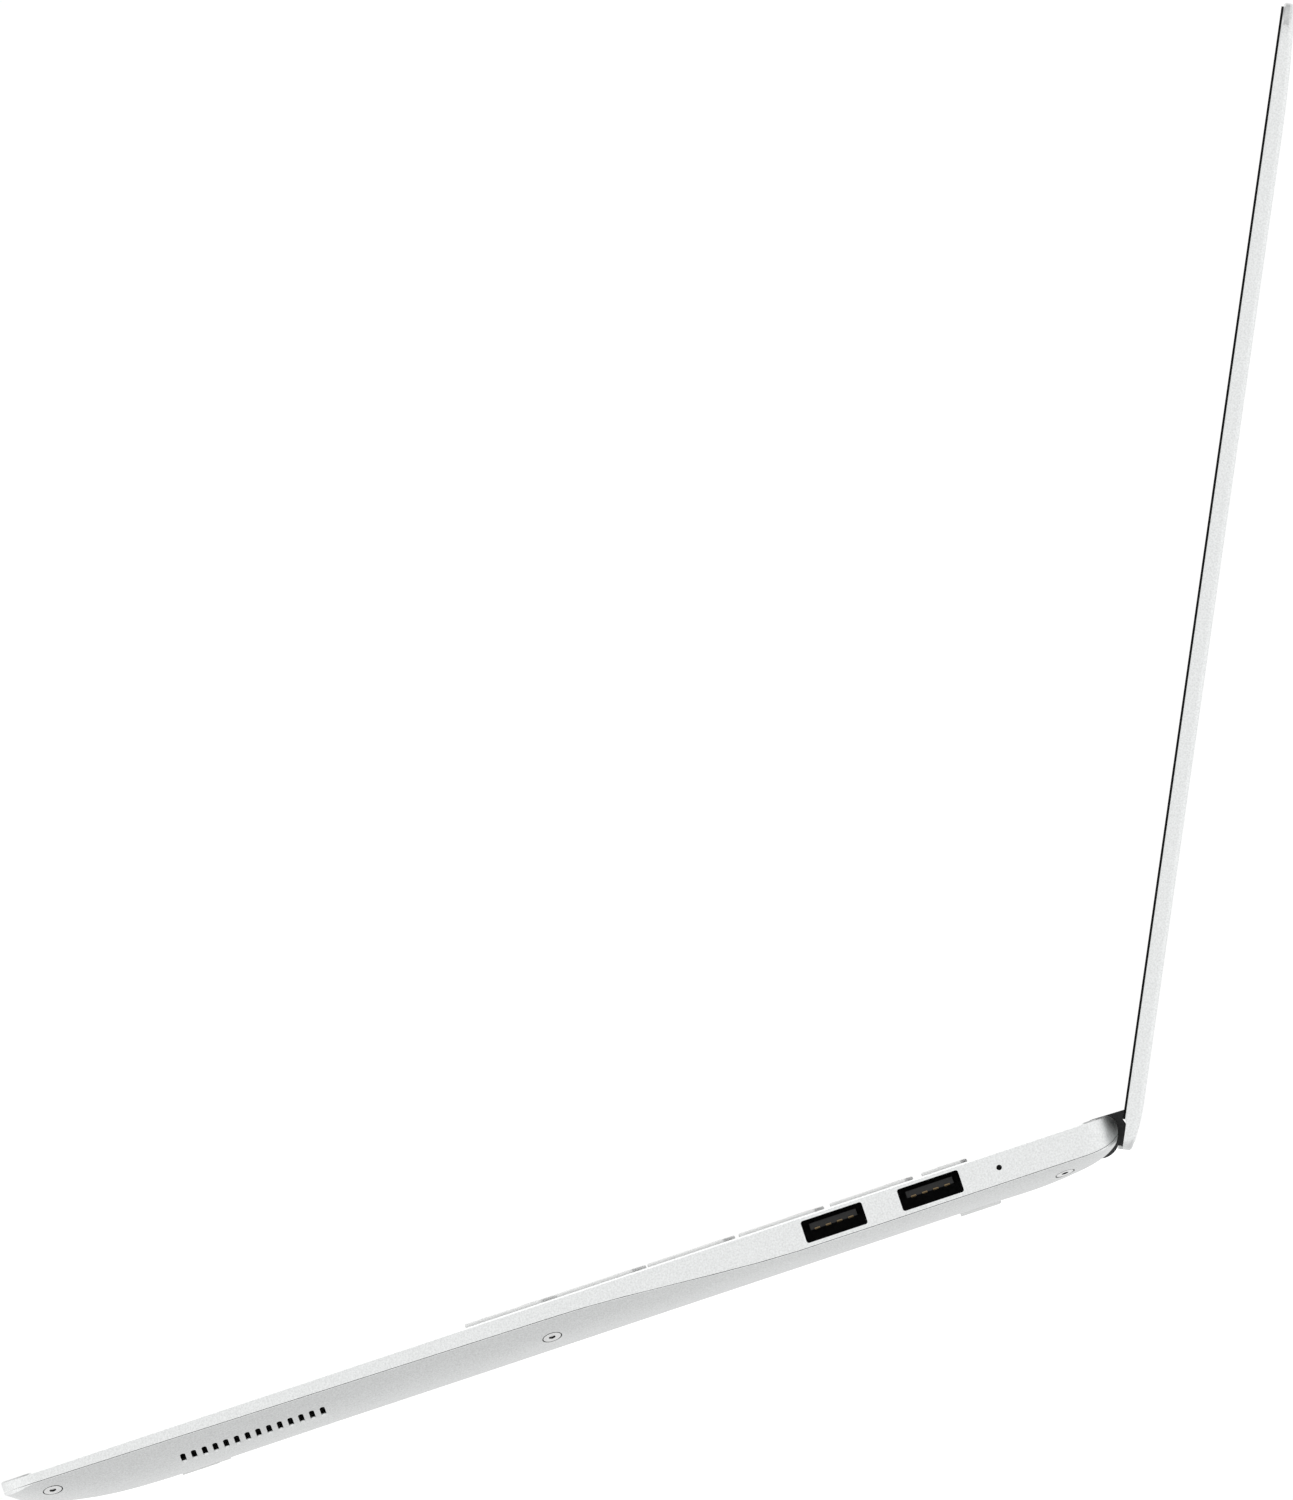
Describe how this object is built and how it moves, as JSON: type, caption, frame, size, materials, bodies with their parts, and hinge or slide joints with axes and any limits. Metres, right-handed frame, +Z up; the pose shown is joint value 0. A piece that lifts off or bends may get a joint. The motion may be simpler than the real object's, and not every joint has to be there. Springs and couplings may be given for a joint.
{
  "type": "laptop computer",
  "caption": "Slim metal clamshell computer standing open: keyboard deck with side sockets, and a thin screen lid on a rear friction hinge.",
  "frame": {"origin": "middle of the footprint, lid open, on the surface that the feet stand on", "axes": "+X to the user's right, +Y from the front edge to the rear, +Z up"},
  "size_m": [0.3578, 0.3322, 0.206],
  "materials": {
    "silver_aluminium": "fine bead-blasted, anodised silver",
    "cover_screw": "satin silver",
    "hinge_plastic": "dark grey, fine texture",
    "bezel_plastic": "black, fine texture",
    "black_rubber": "matt",
    "pale_rubber": "matt silver grey",
    "screen_glass": "anti-glare film over a dark panel",
    "lens_glass": "polished",
    "key_plastic": "silver grey, fine texture",
    "touchpad_surface": "satin silver",
    "steel_sheet": "plain stamped",
    "membrane_film": "translucent film",
    "green_board": "solder mask",
    "blue_board": "solder mask",
    "copper": "bare copper",
    "fan_plastic": "black",
    "battery_wrap": "black wrap",
    "speaker_plastic": "black",
    "socket_steel": "black-plated",
    "tongue_plastic": "black",
    "cable_sheath": "black",
    "foil": "thin foil",
    "light_lens": "smoked"
  },
  "bodies": {
    "base": {"top_case": "silver_aluminium", "bottom_cover": "silver_aluminium", "bottom_cover_screws": "cover_screw", "rubber_feet": "pale_rubber", "keyboard_plate": "steel_sheet", "keyboard_membrane": "membrane_film", "hinge_brackets": "steel_sheet", "hinge_bracket_screws": "steel_sheet", "touchpad_frame": "steel_sheet", "motherboard": "blue_board", "processor_plate": "copper", "heat_pipe": "copper", "heatsink_fins": "copper", "fan_housing": "fan_plastic", "battery_pack": "battery_wrap", "ssd_module": "green_board", "wifi_card": "green_board", "io_board": "blue_board", "io_board_cable": "cable_sheath", "usb_shells": "socket_steel", "usb_tongues": "tongue_plastic", "usb_c_socket": "socket_steel", "hdmi_socket": "socket_steel", "audio_jack": "tongue_plastic", "speakers": "speaker_plastic", "status_light_lens": "light_lens", "base_display_cable": "cable_sheath"},
    "lid": {"lid_back_cover": "silver_aluminium", "display_bezel": "bezel_plastic", "bezel_gasket": "black_rubber", "lcd_panel": "screen_glass", "backlight_panel": "steel_sheet", "webcam_board": "green_board", "webcam_lens": "lens_glass", "hinge_cover": "hinge_plastic", "hinge_arms": "steel_sheet", "hinge_shafts": "steel_sheet", "hinge_arm_screws": "steel_sheet", "wifi_antennas": "foil", "display_cable": "cable_sheath"},
    "function_row_keys": {"function_row_keys": "key_plastic"},
    "number_row_keys": {"number_row_keys": "key_plastic"},
    "upper_row_keys": {"upper_row_keys": "key_plastic"},
    "home_row_keys": {"home_row_keys": "key_plastic"},
    "lower_row_keys": {"lower_row_keys": "key_plastic"},
    "bottom_row_keys": {"bottom_row_keys": "key_plastic"},
    "space_bar": {"space_bar": "key_plastic"},
    "enter_key": {"enter_key": "key_plastic"},
    "backspace_key": {"backspace_key": "key_plastic"},
    "left_shift_key": {"left_shift_key": "key_plastic"},
    "right_shift_key": {"right_shift_key": "key_plastic"},
    "up_arrow_key": {"up_arrow_key": "key_plastic"},
    "down_arrow_key": {"down_arrow_key": "key_plastic"},
    "left_arrow_key": {"left_arrow_key": "key_plastic"},
    "right_arrow_key": {"right_arrow_key": "key_plastic"},
    "touchpad": {"touchpad": "touchpad_surface"},
    "power_button": {"power_button": "silver_aluminium"},
    "fan_rotor": {"fan_rotor": "fan_plastic"}
  },
  "joints": [
    {"name": "lid_hinge", "type": "hinge", "parent": "base", "child": "lid", "pos_m": [0, 0.05974, 0.0061], "axis": [-1, 0, 0], "range_deg": [-116.5, 22.5]},
    {"name": "function_row_press", "type": "slide", "parent": "base", "child": "function_row_keys", "axis": [0, 0, 1], "range_m": [-0.0015, 0], "stiffness_N_per_m": 400, "springref_m": 0.0005},
    {"name": "number_row_press", "type": "slide", "parent": "base", "child": "number_row_keys", "axis": [0, 0, 1], "range_m": [-0.0015, 0], "stiffness_N_per_m": 400, "springref_m": 0.0005},
    {"name": "upper_row_press", "type": "slide", "parent": "base", "child": "upper_row_keys", "axis": [0, 0, 1], "range_m": [-0.0015, 0], "stiffness_N_per_m": 400, "springref_m": 0.0005},
    {"name": "home_row_press", "type": "slide", "parent": "base", "child": "home_row_keys", "axis": [0, 0, 1], "range_m": [-0.0015, 0], "stiffness_N_per_m": 400, "springref_m": 0.0005},
    {"name": "lower_row_press", "type": "slide", "parent": "base", "child": "lower_row_keys", "axis": [0, 0, 1], "range_m": [-0.0015, 0], "stiffness_N_per_m": 400, "springref_m": 0.0005},
    {"name": "bottom_row_press", "type": "slide", "parent": "base", "child": "bottom_row_keys", "axis": [0, 0, 1], "range_m": [-0.0015, 0], "stiffness_N_per_m": 400, "springref_m": 0.0005},
    {"name": "space_bar_press", "type": "slide", "parent": "base", "child": "space_bar", "axis": [0, 0, 1], "range_m": [-0.0015, 0], "stiffness_N_per_m": 400, "springref_m": 0.0005},
    {"name": "enter_press", "type": "slide", "parent": "base", "child": "enter_key", "axis": [0, 0, 1], "range_m": [-0.0015, 0], "stiffness_N_per_m": 400, "springref_m": 0.0005},
    {"name": "backspace_press", "type": "slide", "parent": "base", "child": "backspace_key", "axis": [0, 0, 1], "range_m": [-0.0015, 0], "stiffness_N_per_m": 400, "springref_m": 0.0005},
    {"name": "left_shift_press", "type": "slide", "parent": "base", "child": "left_shift_key", "axis": [0, 0, 1], "range_m": [-0.0015, 0], "stiffness_N_per_m": 400, "springref_m": 0.0005},
    {"name": "right_shift_press", "type": "slide", "parent": "base", "child": "right_shift_key", "axis": [0, 0, 1], "range_m": [-0.0015, 0], "stiffness_N_per_m": 400, "springref_m": 0.0005},
    {"name": "up_arrow_press", "type": "slide", "parent": "base", "child": "up_arrow_key", "axis": [0, 0, 1], "range_m": [-0.0015, 0], "stiffness_N_per_m": 400, "springref_m": 0.0005},
    {"name": "down_arrow_press", "type": "slide", "parent": "base", "child": "down_arrow_key", "axis": [0, 0, 1], "range_m": [-0.0015, 0], "stiffness_N_per_m": 400, "springref_m": 0.0005},
    {"name": "left_arrow_press", "type": "slide", "parent": "base", "child": "left_arrow_key", "axis": [0, 0, 1], "range_m": [-0.0015, 0], "stiffness_N_per_m": 400, "springref_m": 0.0005},
    {"name": "right_arrow_press", "type": "slide", "parent": "base", "child": "right_arrow_key", "axis": [0, 0, 1], "range_m": [-0.0015, 0], "stiffness_N_per_m": 400, "springref_m": 0.0005},
    {"name": "touchpad_click", "type": "hinge", "parent": "base", "child": "touchpad", "pos_m": [0, -0.07906, 0.00945], "axis": [1, 0, 0], "range_deg": [0, 0.6], "stiffness_Nm_per_rad": 6, "springref_deg": -0.34},
    {"name": "power_button_press", "type": "slide", "parent": "base", "child": "power_button", "axis": [0, 0, 1], "range_m": [-0.0004, 0], "stiffness_N_per_m": 600, "springref_m": 0.0004},
    {"name": "fan_spin", "type": "hinge", "parent": "base", "child": "fan_rotor", "pos_m": [0.105, -0.00406, 0.004], "axis": [0, 0, 1], "continuous": true}
  ]
}
